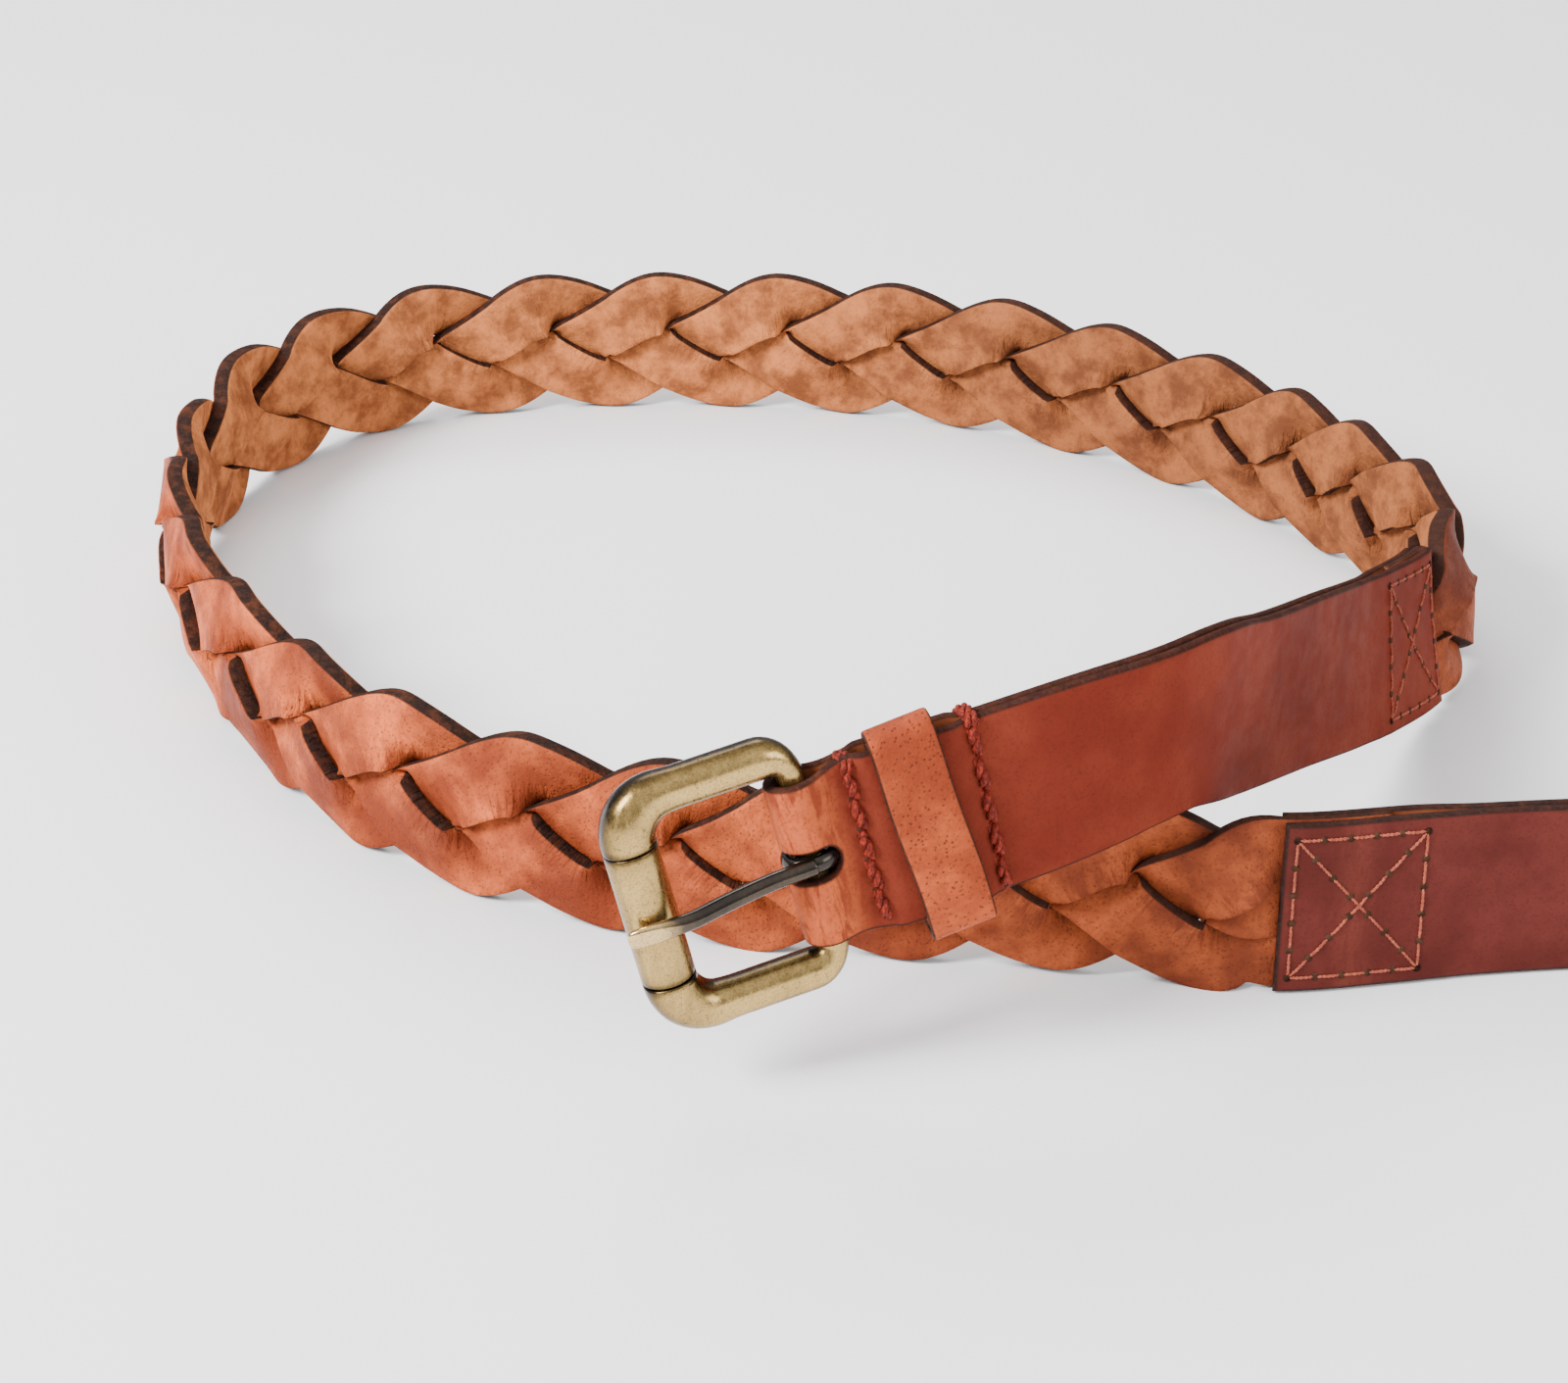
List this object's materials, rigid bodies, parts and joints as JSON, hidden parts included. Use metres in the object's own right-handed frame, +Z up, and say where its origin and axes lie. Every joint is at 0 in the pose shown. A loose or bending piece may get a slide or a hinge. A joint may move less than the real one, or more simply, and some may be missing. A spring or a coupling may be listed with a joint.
{
  "type": "plaited leather belt",
  "caption": "Flat three-strand plaited leather belt standing on edge in an open loop, with a smooth folded strap, leather keeper and roller buckle.",
  "frame": {"origin": "centre of the belt's footprint, on the surface that it stands on", "axes": "+Z up across the belt's width, +X along the straight tip strap's end of the layout, +Y from the buckle towards the back of the loop"},
  "size_m": [0.4586, 0.2905, 0.0638],
  "materials": {
    "plait_leather": "smooth grain outside, suede inside",
    "strap_leather": "waxed, glossy",
    "keeper_leather": "pored grain, satin",
    "row_thread": "thick twisted thread",
    "box_thread": "thin thread",
    "antique_brass": "brushed, dark patina",
    "dark_brass": "polished, dark patina",
    "staple_wire": "plain wire"
  },
  "bodies": {
    "belt": {"strand_a": "plait_leather", "strand_b": "plait_leather", "strand_c": "plait_leather", "tip_strap": "strap_leather", "tip_lining": "strap_leather", "chape_strap": "strap_leather", "stitch_row_front": "row_thread", "stitch_row_rear": "row_thread", "box_stitch_tip_end": "box_thread", "box_stitch_buckle_end": "box_thread"},
    "keeper": {"keeper_loop": "keeper_leather", "keeper_staple": "staple_wire"},
    "buckle": {"buckle_frame": "antique_brass"},
    "roller": {"buckle_roller": "antique_brass"},
    "prong": {"buckle_prong": "dark_brass"}
  },
  "joints": [
    {"name": "buckle_hinge", "type": "hinge", "parent": "belt", "child": "buckle", "pos_m": [-0.09499, -0.13119, 0.0383], "axis": [-0.2387, 0.0354, 0.9705], "range_deg": [-60, 15]},
    {"name": "prong_hinge", "type": "hinge", "parent": "buckle", "child": "prong", "pos_m": [-0.09499, -0.13119, 0.0383], "axis": [-0.2387, 0.0354, 0.9705], "range_deg": [0, 95]},
    {"name": "roller_spin", "type": "hinge", "parent": "buckle", "child": "roller", "pos_m": [-0.11944, -0.13791, 0.03253], "axis": [-0.2387, 0.0354, 0.9705], "continuous": true},
    {"name": "keeper_slide", "type": "slide", "parent": "belt", "child": "keeper", "axis": [-0.9529, -0.214, -0.2149], "range_m": [-0.0009, 0.0009]}
  ]
}
